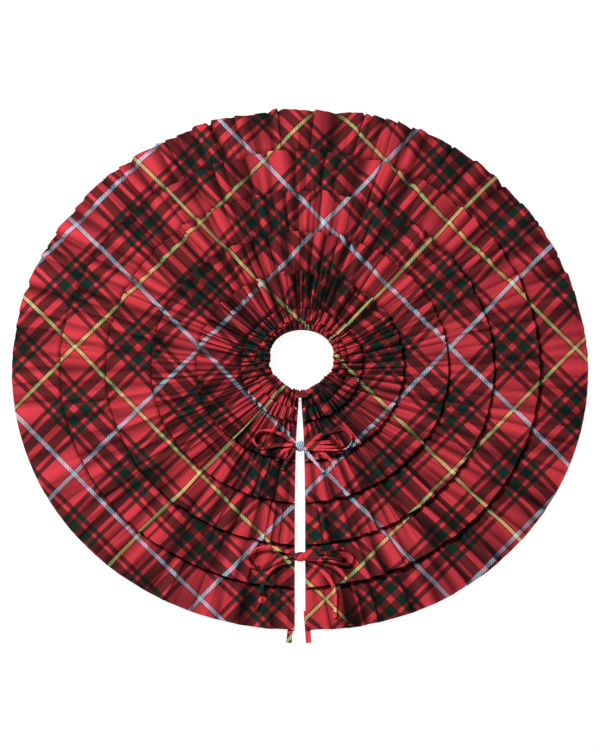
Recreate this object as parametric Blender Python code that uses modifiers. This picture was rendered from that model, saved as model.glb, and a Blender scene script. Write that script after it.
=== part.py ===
"""Round tiered tree skirt, laid flat: gathered plaid ruffles on a base cloth, a gathered collar
round the trunk hole, and a front slit closed by a hook and eye and by two bows.

Metres, +Z up. The origin is on the floor, on the axis of the trunk hole. The slit faces -Y.
Every ring of cloth is pieced from three panels: rear, front_left and front_right. The rear
panels meet the front ones on the X axis, where the skirt folds in half.
"""
import math

import bpy

# Driving dimensions
HEM_RADIUS = 0.6096            # a 48 inch skirt
HOLE_RADIUS = 0.0667           # trunk hole, 5 1/4 inch across
TIER_HEMS = (0.218, 0.313, 0.409, 0.506, HEM_RADIUS)
TIER_LAP = 0.025               # each tier's heading is sewn this far under the hem above it
FIRST_HEADING = 0.103          # the first tier starts at the collar

GAP = 0.0003                   # left between pieces that touch
FOLD_GAP = 0.0006              # half the gap between front and rear panels, on the X axis
BASE_THICKNESS = 0.002
BASE_INNER = 0.070
BASE_OUTER = 0.597             # the last ruffle hangs past the base cloth
RUFFLE_THICKNESS = 0.005       # room that one tier's folds take up
LAST_TIER_LIFT = 0.0017        # the last tier clears the hem ties that lie under it
LAST_TIER_FLAT = 0.525         # from this radius on it runs level

PLACKET_EDGE = 0.0115          # slit side of the strips that bind the base cloth
PLACKET_WIDTH = 0.0102
PLACKET_ENDS = (-0.600, -0.078)

COLLAR_WIDTH = 0.035           # casing, measured along a radius
COLLAR_HEIGHT = 0.0272
CASING_WALL = 0.002
ELASTIC_WIDTH = 0.024
ELASTIC_THICKNESS = 0.003
FRILL_RADII = (0.1028, 0.125)
FRILL_HEIGHTS = (0.0145, 0.0095)
FRILL_THICKNESS = 0.005

TIE_DIAMETER = 0.0044          # a narrow tie strip, creased along its length
KNOT_SIZE = (0.019, 0.024, 0.012)
KNOT_BEVEL = 0.0035
UPPER_KNOT = (0.0, -0.187, 0.0198)
LOWER_KNOT = (0.0, -0.443, 0.0192)
STRAND_LEVEL = 2.4             # mm above or below the knot's middle
HEM_TIE_SIZE = (0.0115, 0.072, 0.0012)
TIE_SPACING = 0.0115           # between the points of a tie's centre line

TAB_SIZE = (0.029, 0.016, 0.0015)
TAB_CENTRE = (0.0045, -0.072)
WIRE_DIAMETER = 0.001

REAR_STEPS = 48
COLLAR_REAR_STEPS = 24
SIDES = ("rear", "front_left", "front_right")

MM = 0.001


def clear_scene():
    for old in list(bpy.data.objects):
        bpy.data.objects.remove(old)


def make_material(name, colour, roughness, metallic=0.0):
    material = bpy.data.materials.new(name)
    material.use_nodes = True
    shader = material.node_tree.nodes["Principled BSDF"]
    shader.inputs["Base Color"].default_value = (*colour, 1.0)
    shader.inputs["Roughness"].default_value = roughness
    shader.inputs["Metallic"].default_value = metallic
    material.diffuse_color = (*colour, 1.0)
    return material


def add_part(obj, colour, roughness=0.85, metallic=0.0):
    """Puts a finished object in the skirt's collection, with a material of its own."""
    for holder in list(obj.users_collection):
        holder.objects.unlink(obj)
    skirt.objects.link(obj)
    obj.data.materials.clear()
    obj.data.materials.append(make_material(obj.name, colour, roughness, metallic))
    return obj


def smooth(obj, angle=40):
    obj.data.shade_smooth()
    obj.data.set_sharp_from_angle(angle=math.radians(angle))


# Panels

def slit_half_width(radius):
    """The slit is a narrow V below the collar and nearly parallel further out."""
    stops = ((0.085, 0.0046), (0.19, 0.0088), (0.30, 0.011), (0.62, 0.011))
    if radius <= stops[0][0]:
        return stops[0][1]
    for (r0, w0), (r1, w1) in zip(stops, stops[1:]):
        if radius <= r1:
            return w0 + (w1 - w0) * (radius - r0) / (r1 - r0)
    return stops[-1][1]


def panel_angles(side, inner, outer):
    """Start and end angle of a panel: a small gap on the X axis, the slit's width at -Y."""
    fold = FOLD_GAP / inner
    middle = (inner + outer) / 2
    slit = math.asin(slit_half_width(middle) / middle)
    return {
        "rear": (fold, math.pi - fold),
        "front_left": (math.pi + fold, 1.5 * math.pi - slit),
        "front_right": (1.5 * math.pi + slit, 2 * math.pi - fold),
    }[side]


def ring_panel(name, profile, thickness, side, colour, closed=False):
    """A profile (radius, height) swept about Z over one panel's angles, then given thickness."""
    radii = [point[0] for point in profile]
    start, end = panel_angles(side, min(radii), max(radii))
    mesh = bpy.data.meshes.new(name)
    count = len(profile)
    edges = [(i, i + 1) for i in range(count - 1)]
    if closed:
        edges.append((count - 1, 0))
    mesh.from_pydata([(r, 0.0, z) for r, z in profile], edges, [])
    obj = bpy.data.objects.new(name, mesh)
    obj.rotation_euler[2] = start
    add_part(obj, colour)

    screw = obj.modifiers.new("sweep", "SCREW")
    screw.axis = "Z"
    screw.angle = end - start
    steps = COLLAR_REAR_STEPS if max(radii) < TIER_HEMS[0] else REAR_STEPS
    screw.steps = steps if side == "rear" else steps // 2
    screw.render_steps = screw.steps
    screw.use_smooth_shade = False

    solid = obj.modifiers.new("thickness", "SOLIDIFY")
    solid.thickness = thickness
    solid.offset = -1.0
    return obj


def tier_profile(index):
    """Upper line of a tier, from its heading out to its hem. Each tier rises just enough
    to lie on the heading of the next one. A profile has its outer side on its left."""
    headings = [FIRST_HEADING] + [hem - TIER_LAP for hem in TIER_HEMS[:-1]]
    inner = headings[index]
    hem = TIER_HEMS[index]
    top = BASE_THICKNESS + GAP + RUFFLE_THICKNESS
    if index == len(TIER_HEMS) - 1:
        level = top + LAST_TIER_LIFT
        return [(inner, top), (LAST_TIER_FLAT, level), (hem, level)]
    slope = (RUFFLE_THICKNESS + GAP) / (headings[index + 1] - inner)
    return [(inner, top), (hem, top + slope * (hem - inner))]


def make_tiers():
    for index in range(len(TIER_HEMS)):
        shade = 0.35 + 0.05 * index
        for side in SIDES:
            ring_panel(f"tier_{index + 1}_{side}", tier_profile(index), RUFFLE_THICKNESS, side,
                       (shade, 0.02, 0.03))


def arc(radius, start, end, steps):
    return [(radius * math.cos(start + (end - start) * i / steps),
             radius * math.sin(start + (end - start) * i / steps)) for i in range(steps + 1)]


def flat_piece(name, outline, thickness, colour):
    """A flat outline in the XY plane, resting on the floor, as a filled 2D curve."""
    curve = bpy.data.curves.new(name, "CURVE")
    curve.dimensions = "2D"
    curve.fill_mode = "BOTH"
    curve.extrude = thickness / 2
    spline = curve.splines.new("POLY")
    spline.points.add(len(outline) - 1)
    for point, (x, y) in zip(spline.points, outline):
        point.co = (x, y, 0.0, 1.0)
    spline.use_cyclic_u = True
    obj = bpy.data.objects.new(name, curve)
    obj.location[2] = thickness / 2
    return add_part(obj, colour)


def make_base():
    """The base cloth under the ruffles: a half ring at the rear, and two front quarters
    whose slit edges run parallel, ready for the plackets."""
    rear_inner = arc(BASE_INNER, FOLD_GAP / BASE_INNER, math.pi - FOLD_GAP / BASE_INNER, 24)
    rear_outer = arc(BASE_OUTER, math.pi - FOLD_GAP / BASE_OUTER, FOLD_GAP / BASE_OUTER, REAR_STEPS)
    flat_piece("base_rear", rear_inner + rear_outer, BASE_THICKNESS, (0.30, 0.03, 0.04))

    edge = PLACKET_EDGE + PLACKET_WIDTH + GAP
    inner = arc(BASE_INNER, 1.5 * math.pi + math.asin(edge / BASE_INNER),
                2 * math.pi - FOLD_GAP / BASE_INNER, 12)
    outer = arc(BASE_OUTER, 2 * math.pi - FOLD_GAP / BASE_OUTER,
                1.5 * math.pi + math.asin(edge / BASE_OUTER), REAR_STEPS // 2)
    right = inner + outer
    flat_piece("base_front_right", right, BASE_THICKNESS, (0.30, 0.03, 0.04))
    flat_piece("base_front_left", [(-x, y) for x, y in right], BASE_THICKNESS, (0.30, 0.03, 0.04))


def make_plackets():
    near, far = PLACKET_ENDS
    inside, outside = PLACKET_EDGE, PLACKET_EDGE + PLACKET_WIDTH
    strip = [(inside, near), (outside, near), (outside, far), (inside, far)]
    flat_piece("placket_right", strip, BASE_THICKNESS, (0.42, 0.04, 0.05))
    flat_piece("placket_left", [(-x, y) for x, y in strip], BASE_THICKNESS, (0.42, 0.04, 0.05))


# Collar

def make_collar():
    """An oval casing gathered on a flat elastic, with a frill standing out round it."""
    middle = HOLE_RADIUS + COLLAR_WIDTH / 2
    height = BASE_THICKNESS + GAP + COLLAR_HEIGHT / 2
    sides = 12
    oval = [(middle + COLLAR_WIDTH / 2 * math.cos(-2 * math.pi * i / sides),
             height + COLLAR_HEIGHT / 2 * math.sin(-2 * math.pi * i / sides)) for i in range(sides)]
    band_top = height + ELASTIC_THICKNESS / 2
    band = [(middle - ELASTIC_WIDTH / 2, band_top), (middle + ELASTIC_WIDTH / 2, band_top)]
    frill = [(radius, height + FRILL_THICKNESS)
             for radius, height in zip(FRILL_RADII, FRILL_HEIGHTS)]
    for side in SIDES:
        ring_panel(f"collar_casing_{side}", oval, CASING_WALL, side, (0.45, 0.03, 0.04), closed=True)
        ring_panel(f"collar_elastic_{side}", band, ELASTIC_THICKNESS, side, (0.75, 0.73, 0.68))
        ring_panel(f"collar_frill_{side}", frill, FRILL_THICKNESS, side, (0.52, 0.04, 0.05))


def collar_top():
    return BASE_THICKNESS + GAP + COLLAR_HEIGHT


def rounded_box(name, size, centre, bevel, colour):
    bpy.ops.mesh.primitive_cube_add(size=1.0, location=centre)
    box = bpy.context.active_object
    box.name = name
    box.scale = size
    bpy.ops.object.transform_apply(location=False, rotation=False, scale=True)
    if bevel:
        edge = box.modifiers.new("edge", "BEVEL")
        edge.width = bevel
        edge.segments = 2
    return add_part(box, colour)


def make_tab():
    """The end of the right collar, laid flat across the slit onto the left one."""
    middle = collar_top() + GAP + TAB_SIZE[2] / 2
    rounded_box("collar_tab", TAB_SIZE, (*TAB_CENTRE, middle), 0.0005, (0.40, 0.05, 0.06))


# Ties, hook and eye

def catmull_rom(points, steps):
    """Points of a smooth curve through the given ones, steps to each span."""
    padded = [points[0]] + list(points) + [points[-1]]
    result = []
    for p0, p1, p2, p3 in zip(padded, padded[1:], padded[2:], padded[3:]):
        for i in range(steps):
            t = i / steps
            result.append(tuple(
                0.5 * (2 * b + (c - a) * t + (2 * a - 5 * b + 4 * c - d) * t * t
                       + (3 * b - a - 3 * c + d) * t ** 3)
                for a, b, c, d in zip(p0, p1, p2, p3)))
    result.append(tuple(points[-1]))
    return result


def evenly(points, spacing):
    """The same line with its points about one spacing apart."""
    runs = [0.0]
    for a, b in zip(points, points[1:]):
        runs.append(runs[-1] + math.dist(a, b))
    count = max(2, round(runs[-1] / spacing))
    result = []
    span = 0
    for i in range(count + 1):
        target = runs[-1] * i / count
        while span < len(runs) - 2 and runs[span + 1] < target:
            span += 1
        t = (target - runs[span]) / (runs[span + 1] - runs[span])
        result.append(tuple(a + (b - a) * t for a, b in zip(points[span], points[span + 1])))
    return result


def tube(name, points, diameter, colour, roughness=0.85, metallic=0.0):
    curve = bpy.data.curves.new(name, "CURVE")
    curve.dimensions = "3D"
    curve.bevel_depth = diameter / 2
    curve.bevel_resolution = 2
    curve.use_fill_caps = True
    spline = curve.splines.new("POLY")
    spline.points.add(len(points) - 1)
    for point, place in zip(spline.points, points):
        point.co = (*place, 1.0)
    return add_part(bpy.data.objects.new(name, curve), colour, roughness, metallic)


def tie(name, knot, route):
    """A tie strand. Its route is in millimetres from the middle of its knot."""
    places = [tuple(k + MM * offset for k, offset in zip(knot, point)) for point in route]
    tube(name, evenly(catmull_rom(places, 8), TIE_SPACING), TIE_DIAMETER, (0.46, 0.03, 0.04))


UP = STRAND_LEVEL
DOWN = -STRAND_LEVEL

UPPER_BOW = {
    "loop_left": [(-11, 7.2, UP), (-22, 15, UP), (-38, 25, UP), (-56, 33, UP), (-75, 36, 1.5),
                  (-90, 31, 0), (-97, 19, 0), (-95, 6, 0), (-86, -3, 1), (-70, -2, UP),
                  (-50, 1, UP), (-28, 2, UP), (-11, 2, UP)],
    "loop_right": [(11, 7.6, UP), (26, 15, UP), (45, 25, UP), (64, 34, UP), (83, 40, 1.5),
                   (99, 36, 0), (108, 23, 0), (107, 6, 0), (97, -6, 1), (80, -9.5, UP),
                   (60, -9, UP), (38, -7.8, UP), (22, -7.6, UP), (11, -7.6, UP)],
    "small_loop_right": [(11, 2.6, UP), (28, 5, UP), (50, 7.5, UP), (70, 8.5, UP), (85, 7, UP),
                         (90, 1.5, UP), (84, -3, UP), (68, -3.4, UP), (48, -2.8, UP),
                         (28, -2.4, UP), (11, -2.4, UP)],
    "tail_left_a": [(-11, -2.4, DOWN), (-24, -4, DOWN), (-36, -10, DOWN), (-44, -20, DOWN),
                    (-48, -32, -2.8)],
    "tail_left_b": [(-12.5, -7.6, DOWN), (-18, -17, DOWN), (-26, -28, DOWN), (-33, -40, -3.8),
                    (-38, -52, -5.6)],
    "tail_right_a": [(11, -2.4, DOWN), (28, -6, DOWN), (45, -14, DOWN), (60, -27, DOWN),
                     (74, -40, -4.6)],
    "tail_right_b": [(12.5, -7.6, DOWN), (18, -18, DOWN), (28, -32, -2.6), (38, -46, -4.4),
                     (48, -58, -6)],
}

LOWER_BOW = {
    "loop_left": [(-11, 6, UP), (-24, 10, UP), (-42, 15, UP), (-60, 20, UP), (-78, 21, 1.5),
                  (-95, 15, 0), (-107, 2, 0), (-108, -12, 0), (-99, -22, 0), (-84, -24, 1),
                  (-66, -18, UP), (-46, -9, UP), (-26, -2, UP), (-11, 0, UP)],
    "loop_right": [(11, 7.6, UP), (26, 13, UP), (45, 19, UP), (62, 23, UP), (80, 23, 1.5),
                   (97, 18, 0), (108, 5, 0), (109, -9, 0), (99, -18, 1), (84, -16, UP),
                   (64, -11, UP), (44, -8.4, UP), (26, -7.8, UP), (11, -7.6, UP)],
    "small_loop_right": [(11, 2.6, UP), (30, 5.5, UP), (52, 8.5, UP), (72, 9, UP), (84, 6, UP),
                         (87, 0.5, UP), (79, -3.6, UP), (58, -3.6, UP), (34, -2.6, UP),
                         (11, -2.4, UP)],
    "tail_left": [(-11, -5, DOWN), (-26, -11, DOWN), (-43, -16, DOWN), (-56, -24, DOWN),
                  (-67, -35, DOWN), (-75, -49, DOWN), (-80, -65, DOWN)],
    "tail_left_end": [(-82, -84, -6), (-84, -94, -7.2), (-88, -105, -7.4), (-93, -115, -7.4)],
    "tail_right_a": [(11, -2.4, DOWN), (30, -6.5, DOWN), (50, -12, DOWN), (68, -20, DOWN),
                     (84, -29, DOWN), (93, -41, DOWN), (100, -52, DOWN)],
    "tail_right_b": [(12.5, -7.6, DOWN), (22, -14, DOWN), (36, -23, DOWN), (50, -33, DOWN),
                     (61, -46, DOWN), (69, -63, DOWN), (73, -84, -6), (74, -108, -7.4),
                     (72, -132, -7.4)],
}
TAIL_KNOT_PLACE = (-81, -74.5, -4)      # mm from the lower knot
TAIL_KNOT_SIZE = (0.012, 0.014, 0.009)


def make_bows():
    for prefix, knot, routes in (("bow_upper", UPPER_KNOT, UPPER_BOW),
                                 ("bow_lower", LOWER_KNOT, LOWER_BOW)):
        rounded_box(f"{prefix}_knot", KNOT_SIZE, knot, KNOT_BEVEL, (0.30, 0.06, 0.08))
        for name, route in routes.items():
            tie(f"{prefix}_{name}", knot, route)
    place = tuple(k + MM * offset for k, offset in zip(LOWER_KNOT, TAIL_KNOT_PLACE))
    rounded_box("bow_lower_tail_knot", TAIL_KNOT_SIZE, place, 0.003, (0.05, 0.12, 0.09))


def make_hem_ties():
    """The ends of the third pair of ties: they come from under the last tier, one on each
    side of the slit, and show past the hem."""
    level = BASE_THICKNESS + GAP + HEM_TIE_SIZE[2] / 2
    for name, x, turn in (("hem_tie_left", -0.0195, -6.0), ("hem_tie_right", 0.0155, 4.0)):
        strip = rounded_box(name, HEM_TIE_SIZE, (x, -0.591, level), 0.0, (0.50, 0.05, 0.06))
        strip.rotation_euler[2] = math.radians(turn)


def make_hook_and_eye():
    """A bent wire hook on the right collar end, and a wire eye on the left one, in the slit
    just past the tab. The eye's bar lies between the two runs of the hook."""
    steel = (0.80, 0.80, 0.82)
    y = -0.0855
    hook = [(0.0042, y, 0.0275), (0.0010, y, 0.0275), (-0.0018, y, 0.0274), (-0.0031, y, 0.0268),
            (-0.0034, y, 0.0261), (-0.0028, y, 0.0252), (-0.0012, y, 0.0249), (0.0012, y, 0.0249)]
    tube("collar_hook", hook, WIRE_DIAMETER, steel, 0.25, 1.0)
    bar = -0.0014
    eye = [(-0.0043, y - 0.003, 0.0262), (-0.0026, y - 0.003, 0.0262),
           (-0.0018, y - 0.0027, 0.0262), (bar, y - 0.002, 0.0262), (bar, y, 0.0262),
           (bar, y + 0.002, 0.0262), (-0.0018, y + 0.0027, 0.0262), (-0.0026, y + 0.003, 0.0262),
           (-0.0043, y + 0.003, 0.0262)]
    tube("collar_eye", eye, WIRE_DIAMETER, steel, 0.25, 1.0)


clear_scene()
skirt = bpy.data.collections.new("tree_skirt")
bpy.context.scene.collection.children.link(skirt)
make_base()
make_plackets()
make_tiers()
make_collar()
make_tab()
make_hook_and_eye()
make_bows()
make_hem_ties()
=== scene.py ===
# %% [markdown]
# # A tiered tree skirt in gathered plaid
#
# The skirt is a ring of cloth that lies round the foot of a tree. Five gathered ruffles overlap
# like roof tiles on a base cloth, a puffed collar on elastic holds the trunk hole, and a slit at
# the front is closed by a hook and eye and by two bows.
#
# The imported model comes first. It holds every size and every hinge, so the places below are read
# from it. Only the routes of the ties are given again, in millimetres from their knots.

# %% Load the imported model
import math

import bpy
import numpy as np
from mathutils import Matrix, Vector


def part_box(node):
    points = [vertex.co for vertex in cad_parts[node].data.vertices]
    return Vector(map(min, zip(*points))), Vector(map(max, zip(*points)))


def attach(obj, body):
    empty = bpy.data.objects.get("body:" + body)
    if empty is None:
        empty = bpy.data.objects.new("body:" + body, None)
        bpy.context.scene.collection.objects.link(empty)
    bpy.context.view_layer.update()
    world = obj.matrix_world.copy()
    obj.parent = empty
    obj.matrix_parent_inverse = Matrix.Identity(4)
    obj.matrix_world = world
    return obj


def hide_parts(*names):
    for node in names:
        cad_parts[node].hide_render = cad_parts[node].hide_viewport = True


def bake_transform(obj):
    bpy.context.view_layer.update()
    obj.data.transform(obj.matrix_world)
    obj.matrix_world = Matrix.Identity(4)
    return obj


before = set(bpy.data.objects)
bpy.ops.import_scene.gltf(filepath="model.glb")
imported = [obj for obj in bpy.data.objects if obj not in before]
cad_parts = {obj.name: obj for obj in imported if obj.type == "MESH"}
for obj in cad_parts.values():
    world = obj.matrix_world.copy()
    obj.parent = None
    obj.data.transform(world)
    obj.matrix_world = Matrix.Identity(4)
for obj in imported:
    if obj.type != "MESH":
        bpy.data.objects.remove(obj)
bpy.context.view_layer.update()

MM = 0.001
print("pieces in the packed model:", len(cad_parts))


def corners_of(node):
    """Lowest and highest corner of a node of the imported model."""
    low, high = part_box(node)
    return np.array(low), np.array(high)


def ring_radii(node):
    """Inner and outer radius of a ring panel: the least and greatest distance of its corners
    from the Z axis."""
    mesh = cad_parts[node].data
    places = np.empty(len(mesh.vertices) * 3)
    mesh.vertices.foreach_get("co", places)
    distance = np.hypot(places[0::3], places[1::3])
    return float(distance.min()), float(distance.max())


# %% [markdown]
# ## Camera, floor and light
#
# A flat thing on the floor is shown best from high up with a long lens, which keeps the rings
# nearly true ovals. The distance is long and the focal length follows from the width to be seen.

# %% Camera
VIEW_WIDTH = 1.2696            # metres of floor across the picture
ELEVATION = math.radians(65.5)
DISTANCE = 16.0
SENSOR = 36.0                  # mm
AIM = np.array([0.0, -0.0146, 0.0])

lens = bpy.data.cameras.new("camera")
lens.sensor_fit = "HORIZONTAL"
lens.sensor_width = SENSOR
lens.lens = SENSOR * DISTANCE / VIEW_WIDTH
lens.clip_end = 100.0
camera = bpy.data.objects.new("camera", lens)
camera.location = AIM + DISTANCE * np.array([0.0, -math.cos(ELEVATION), math.sin(ELEVATION)])
camera.rotation_euler = (math.pi / 2 - ELEVATION, 0.0, 0.0)
bpy.context.scene.collection.objects.link(camera)
bpy.context.scene.camera = camera
print("focal length in mm:", round(lens.lens))


# %% A helper for nodes, and colours
def linear(code):
    """One sRGB hex colour as linear values: each channel is c/12.92 when dark, and
    ((c + 0.055) / 1.055) to the power 2.4 otherwise."""
    channels = [int(code[i:i + 2], 16) / 255 for i in (0, 2, 4)]
    lit = [c / 12.92 if c <= 0.04045 else ((c + 0.055) / 1.055) ** 2.4 for c in channels]
    return (*lit, 1.0)


def add_node(tree, kind, settings=(), inputs=(), links=()):
    """Adds one node. settings are its own properties, inputs are socket values, and links are
    (socket of the new node, output socket that feeds it)."""
    node = tree.nodes.new(kind)
    for key, value in dict(settings).items():
        setattr(node, key, value)
    for key, value in dict(inputs).items():
        node.inputs[key].default_value = value
    for key, source in dict(links).items():
        tree.links.new(source, node.inputs[key])
    return node


def new_material(name):
    """An empty node material with its Principled shader, ready for links."""
    material = bpy.data.materials.new(name)
    material.use_nodes = True
    return material, material.node_tree, material.node_tree.nodes["Principled BSDF"]


print("sRGB grey 808080 as linear light:", round(linear("808080")[0], 3))


# %% Floor and studio light
def plain_floor():
    """A large square of matt white paper, lit evenly from below as a light table is, so that
    it stays white round the cloth."""
    half = 30.0
    mesh = bpy.data.meshes.new("floor")
    corners = [(-half, -half, 0), (half, -half, 0), (half, half, 0), (-half, half, 0)]
    mesh.from_pydata(corners, [], [(0, 1, 2, 3)])
    floor = bpy.data.objects.new("floor", mesh)
    floor.location[2] = -0.0005
    bpy.context.scene.collection.objects.link(floor)
    material, _, shader = new_material("matt_white_paper")
    shader.inputs["Base Color"].default_value = (0.15, 0.15, 0.15, 1.0)
    shader.inputs["Emission Color"].default_value = (1.0, 1.0, 1.0, 1.0)
    shader.inputs["Emission Strength"].default_value = 0.92
    shader.inputs["Roughness"].default_value = 0.95
    shader.inputs["Specular IOR Level"].default_value = 0.1
    mesh.materials.append(material)
    return floor


def soft_box(name, azimuth, elevation, distance, size, power):
    """A square lamp that looks at the skirt from a compass bearing and a height, in degrees."""
    lamp = bpy.data.lights.new(name, "AREA")
    lamp.shape = "SQUARE"
    lamp.size = size
    lamp.energy = power
    holder = bpy.data.objects.new(name, lamp)
    turn, rise = math.radians(azimuth), math.radians(elevation)
    holder.location = (distance * math.cos(rise) * math.sin(turn),
                       -distance * math.cos(rise) * math.cos(turn),
                       distance * math.sin(rise))
    holder.rotation_euler = (math.pi / 2 - rise, 0.0, turn)
    bpy.context.scene.collection.objects.link(holder)
    return holder


plain_floor()
soft_box("key_light", -115, 50, 4.0, 0.7, 190)
soft_box("fill_light", 50, 50, 4.5, 1.5, 34)

world = bpy.data.worlds.new("studio")
world.use_nodes = True
world.node_tree.nodes["Background"].inputs["Color"].default_value = (1.0, 1.0, 1.0, 1.0)
world.node_tree.nodes["Background"].inputs["Strength"].default_value = 0.11
bpy.context.scene.world = world
bpy.context.scene.view_settings.view_transform = "Standard"
print("lamps in watts:", {lamp.name: round(lamp.energy) for lamp in bpy.data.lights})

# %% [markdown]
# ## The plaid
#
# A plaid is one list of stripes, the sett, woven both ways. This one is a mirror sett: it runs
# from the middle of a pale blue line to the middle of a gold line and back. Warp and weft cross
# in a twill, so two threads of one colour give it pure, and two different ones give a mixture.
# Every piece carries the place it has on the flat cloth as an attribute named plaid, in metres
# along the warp and the weft, so that the lines run on from ruffle to ruffle and bend with it.
# Its third value is painted light, multiplied into the colour: painted shade in creases, under
# hems and round the bows, and painted highlights on the collar.

# %% The sett and its shader
CLOTH_RED = "CC3843"
SETT = (
    ("C2D6EE", 2.8), ("2A0A12", 1.0), (CLOTH_RED, 28.4), ("0E2A22", 6.1), (CLOTH_RED, 4.9),
    ("0E2A22", 13.3), (CLOTH_RED, 9.0), ("0E2A22", 13.4), (CLOTH_RED, 5.2), ("0E2A22", 5.9),
    (CLOTH_RED, 29.4), ("1C1A0A", 1.1), ("D6D88A", 2.8),
)
REPEAT = 0.5295                # metres of x + y from one pale blue line to the next
PLAID_ORIGIN = (-0.254, -0.1688)   # a crossing of two of them, as those two sums
PLAN_SQUASH = 0.91             # the cloth lies a little off square, as gathered
TWILL_PITCH = 0.0066           # real twill lines are 1 mm apart, drawn coarser so that they show


def sett_ramp(tree, distance):
    """Colour of one thread system. The distance is folded at half a repeat, and steps
    through the sett without blending."""
    folded = add_node(tree, "ShaderNodeMath", {"operation": "PINGPONG"},
                      {1: REPEAT / 2}, {0: distance})
    share = add_node(tree, "ShaderNodeMath", {"operation": "DIVIDE"},
                     {1: REPEAT / 2}, {0: folded.outputs[0]})
    ramp = add_node(tree, "ShaderNodeValToRGB", (), (), {"Fac": share.outputs[0]})
    ramp.color_ramp.interpolation = "CONSTANT"
    total = sum(width for _, width in SETT)
    place = 0.0
    for index, (code, width) in enumerate(SETT):
        if index < 2:
            stop = ramp.color_ramp.elements[index]
        else:
            stop = ramp.color_ramp.elements.new(place / total)
        stop.position = place / total
        stop.color = linear(code)
        place += width
    return ramp.outputs["Color"]


print("stripes in half a repeat:", len(SETT))


# %% Plaid twill as a material
def plaid_material(name, roughness, twill_depth, shade=1.0):
    """Brushed cotton twill: matt, with the diagonal twill lines as colour and as relief, and
    slightly uneven dye. Mixture of the two threads = 1/2 + contrast (line - 1/2), with strong
    lines only where a pale thread shows. Red crossed with green looks darker than their mean.
    shade makes the whole cloth lighter or darker. Last the colour is multiplied by the painted
    light, the third value of the plaid attribute."""
    material, tree, shader = new_material(name)
    place = add_node(tree, "ShaderNodeAttribute", {"attribute_name": "plaid"})
    axes = add_node(tree, "ShaderNodeSeparateXYZ", (), (), {0: place.outputs["Vector"]})
    warp = sett_ramp(tree, axes.outputs[0])
    weft = sett_ramp(tree, axes.outputs[1])
    warp_parts = add_node(tree, "ShaderNodeSeparateColor", (), (), {0: warp})
    weft_parts = add_node(tree, "ShaderNodeSeparateColor", (), (), {0: weft})
    apart = add_node(tree, "ShaderNodeMath", {"operation": "SUBTRACT"}, (),
                     {0: warp_parts.outputs[0], 1: weft_parts.outputs[0]})
    unlike = add_node(tree, "ShaderNodeMath", {"operation": "ABSOLUTE"}, (),
                      {0: apart.outputs[0]})
    pale = add_node(tree, "ShaderNodeMath", {"operation": "ADD"}, (),
                    {0: warp_parts.outputs[1], 1: weft_parts.outputs[1]})

    across = add_node(tree, "ShaderNodeMath", {"operation": "ADD"}, (),
                      {0: axes.outputs[0], 1: axes.outputs[1]})
    wave = add_node(tree, "ShaderNodeMath", {"operation": "PINGPONG"}, {1: TWILL_PITCH / 2},
                    {0: across.outputs[0]})
    line = add_node(tree, "ShaderNodeMapRange", {"interpolation_type": "SMOOTHSTEP"},
                    {"From Min": 0.35 * TWILL_PITCH / 2, "From Max": 0.65 * TWILL_PITCH / 2,
                     "To Min": -0.5, "To Max": 0.5}, {"Value": wave.outputs[0]})
    contrast = add_node(tree, "ShaderNodeMapRange", (),
                        {"From Min": 0.10, "From Max": 0.40, "To Min": 0.16, "To Max": 0.55},
                        {"Value": pale.outputs[0]})
    share = add_node(tree, "ShaderNodeMath", {"operation": "MULTIPLY_ADD"}, {2: 0.5},
                     {0: line.outputs[0], 1: contrast.outputs[0]})
    woven = add_node(tree, "ShaderNodeMix", {"data_type": "RGBA"}, (),
                     {"Factor": share.outputs[0], 6: warp, 7: weft})

    deep = add_node(tree, "ShaderNodeMath", {"operation": "SUBTRACT"}, (),
                    {0: unlike.outputs[0], 1: pale.outputs[0]})
    dim = add_node(tree, "ShaderNodeMapRange", (),
                   {"From Min": 0.05, "From Max": 0.50, "To Min": shade, "To Max": 0.44 * shade},
                   {"Value": deep.outputs[0]})
    noise = add_node(tree, "ShaderNodeTexNoise", (), {"Scale": 60.0, "Detail": 3.0},
                     {"Vector": place.outputs["Vector"]})
    dye = add_node(tree, "ShaderNodeMapRange", (), {"To Min": 0.90, "To Max": 1.08},
                   {"Value": noise.outputs["Fac"]})
    even = add_node(tree, "ShaderNodeMath", {"operation": "MULTIPLY"}, (),
                    {0: dim.outputs[0], 1: dye.outputs[0]})
    # painted light: the third value of the plaid attribute darkens or lightens the colour
    tone = add_node(tree, "ShaderNodeMath", {"operation": "MULTIPLY"}, (),
                    {0: even.outputs[0], 1: axes.outputs[2]})
    colour = add_node(tree, "ShaderNodeMix", {"data_type": "RGBA", "blend_type": "MULTIPLY"},
                      {"Factor": 1.0}, {6: woven.outputs[2], 7: tone.outputs[0]})
    tree.links.new(colour.outputs[2], shader.inputs["Base Color"])

    relief = add_node(tree, "ShaderNodeBump", (), {"Strength": twill_depth, "Distance": 0.0004},
                      {"Height": line.outputs[0]})
    tree.links.new(relief.outputs[0], shader.inputs["Normal"])
    shader.inputs["Roughness"].default_value = roughness
    shader.inputs["Specular IOR Level"].default_value = 0.10
    shader.inputs["Sheen Weight"].default_value = 0.02
    shader.inputs["Sheen Roughness"].default_value = 0.4
    shader.inputs["Sheen Tint"].default_value = linear("F2A6A6")
    return material


ruffle_cloth = plaid_material("plaid_brushed_cotton_twill", 0.82, 0.35)
# the ties' copy of the plaid is painted 15% lighter, as if more lit where they stand up
tie_cloth = plaid_material("plaid_twill_strip_painted_lighter", 0.78, 0.25, 1.15)
print("nodes in the plaid:", len(ruffle_cloth.node_tree.nodes))

# %% [markdown]
# ## Cloth surfaces as grids
#
# Every cloth piece is a function of two parameters, worked out as whole arrays: one row for each
# radius, and one column for each angle. The grid becomes a mesh, is given the thickness of the
# cloth, and keeps its place on the flat cloth in the plaid attribute.

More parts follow.
